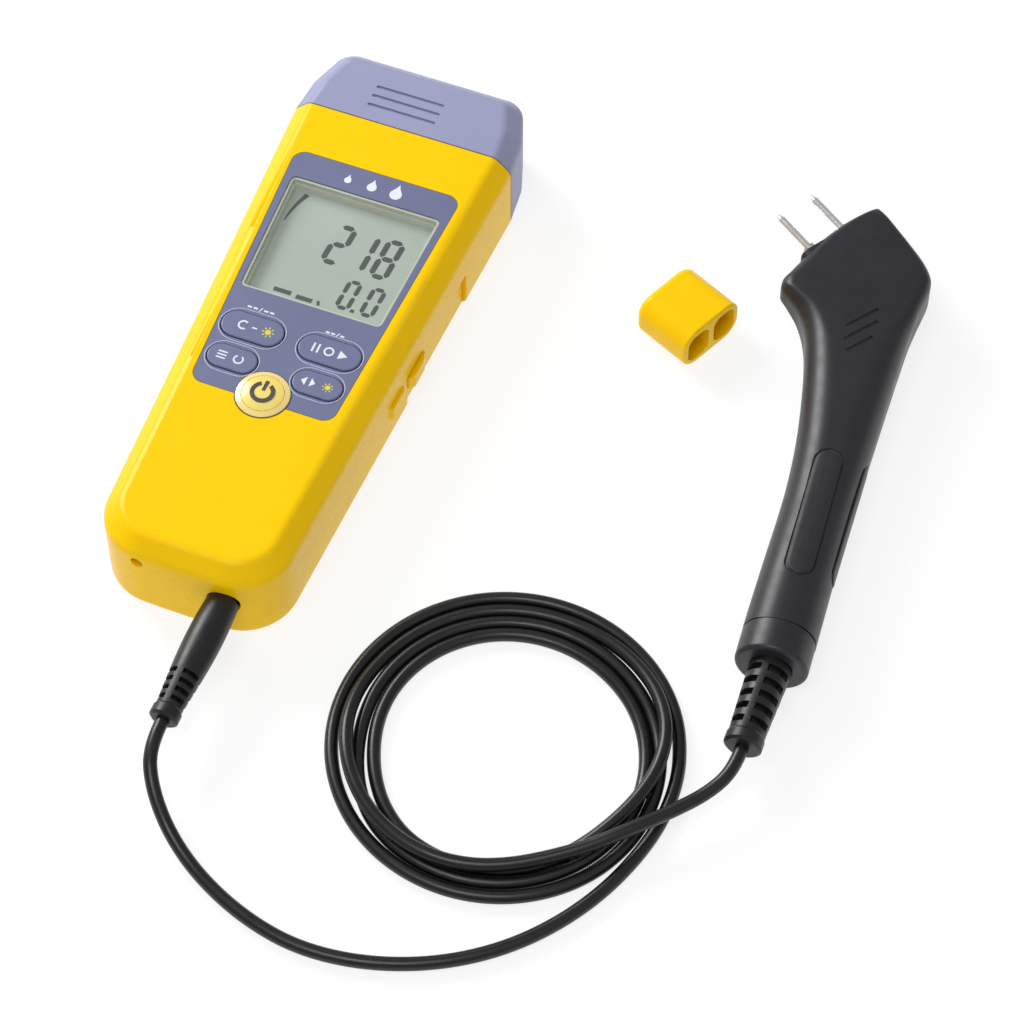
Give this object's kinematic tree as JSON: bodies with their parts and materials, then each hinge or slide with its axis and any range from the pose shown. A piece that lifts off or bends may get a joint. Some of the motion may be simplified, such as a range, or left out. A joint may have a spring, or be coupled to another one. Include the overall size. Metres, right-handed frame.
{
  "type": "moisture meter",
  "caption": "Hand-held pin moisture meter with display, keys and sliding electrode cap, a two-pin handset on a coiled plug-in lead, and a loose pin cap.",
  "frame": {"origin": "middle of the meter's back face, on the surface everything lies on", "axes": "+Y along the case towards the electrode cap, +X to the right of the display, +Z out of the display"},
  "size_m": [0.189, 0.2602, 0.028],
  "materials": {
    "case_yellow": "satin moulded",
    "cap_grey": "fine matt moulded",
    "faceplate_blue": "printed film, satin",
    "key_blue": "soft satin",
    "ring_cream": "gloss",
    "power_cream": "gloss",
    "bezel_grey": "satin",
    "clear_window": "polished",
    "display_glass": "satin",
    "connector_rubber": "matt",
    "board_green": "solder mask",
    "chip_black": "matt",
    "mat_grey": "matt",
    "steel": "bright turned",
    "screw_steel": "zinc plated",
    "nickel": "nickel plated",
    "block_black": "matt moulded",
    "cell_wrap": "film wrap",
    "lead_black": "soft satin",
    "cord_black": "satin",
    "handset_black": "fine matt moulded",
    "grip_black": "matt",
    "wire_red": "satin",
    "wire_white": "satin"
  },
  "bodies": {
    "meter": {"front_shell": "case_yellow", "back_shell": "case_yellow", "faceplate": "faceplate_blue", "lcd_bezel": "bezel_grey", "lcd_window": "clear_window", "lcd_glass": "display_glass", "lcd_connectors": "connector_rubber", "power_ring": "ring_cream", "keypad_mat": "mat_grey", "main_board": "board_green", "board_chips": "chip_black", "board_screws": "screw_steel", "case_screws": "screw_steel", "probe_jack": "block_black", "buzzer": "chip_black", "strap_bar": "steel", "batteries": "cell_wrap", "battery_contacts": "nickel", "electrode_block": "block_black", "electrode_pins": "steel", "electrode_nuts": "nickel"},
    "electrode_cap": {"sensor_cap": "cap_grey"},
    "door": {"battery_door": "case_yellow"},
    "lead_and_handset": {"plug_tip": "nickel", "plug_sleeve": "lead_black", "plug_boot": "lead_black", "cord_meter_side": "cord_black", "cord_coil": "cord_black", "cord_probe_side": "cord_black", "probe_boot": "lead_black", "probe_end_collar": "handset_black", "probe_shell_upper": "handset_black", "probe_shell_lower": "handset_black", "probe_screws": "screw_steel", "probe_pin_block": "handset_black", "probe_pins": "steel", "probe_pin_nuts": "nickel", "grip_pad_top": "grip_black", "grip_pad_side": "grip_black", "probe_wire_left": "wire_red", "probe_wire_right": "wire_white"},
    "loose_pin_cap": {"pin_cap": "case_yellow"},
    "power": {"power_button": "power_cream"},
    "upper_left_key": {"key_upper_left": "key_blue"},
    "upper_right_key": {"key_upper_right": "key_blue"},
    "lower_left_key": {"key_lower_left": "key_blue"},
    "lower_right_key": {"key_lower_right": "key_blue"}
  },
  "joints": [
    {"name": "electrode_cap_slide", "type": "slide", "parent": "meter", "child": "electrode_cap", "axis": [0, 1, 0], "range_m": [0, 0.03]},
    {"name": "battery_door_pull", "type": "slide", "parent": "meter", "child": "door", "axis": [0, 0, -1], "range_m": [0, 0.02]},
    {"name": "plug_pull", "type": "slide", "parent": "meter", "child": "lead_and_handset", "axis": [0, -1, 0], "range_m": [0, 0.02]},
    {"name": "pin_cap_lift", "type": "slide", "parent": "meter", "child": "loose_pin_cap", "axis": [0, 0, 1], "range_m": [0, 0.06]},
    {"name": "power_press", "type": "slide", "parent": "meter", "child": "power", "axis": [0, 0, -1], "range_m": [0, 0.0008], "stiffness_N_per_m": 600},
    {"name": "upper_left_press", "type": "slide", "parent": "meter", "child": "upper_left_key", "axis": [0, 0, -1], "range_m": [0, 0.0008], "stiffness_N_per_m": 600},
    {"name": "upper_right_press", "type": "slide", "parent": "meter", "child": "upper_right_key", "axis": [0, 0, -1], "range_m": [0, 0.0008], "stiffness_N_per_m": 600},
    {"name": "lower_left_press", "type": "slide", "parent": "meter", "child": "lower_left_key", "axis": [0, 0, -1], "range_m": [0, 0.0008], "stiffness_N_per_m": 600},
    {"name": "lower_right_press", "type": "slide", "parent": "meter", "child": "lower_right_key", "axis": [0, 0, -1], "range_m": [0, 0.0008], "stiffness_N_per_m": 600}
  ]
}
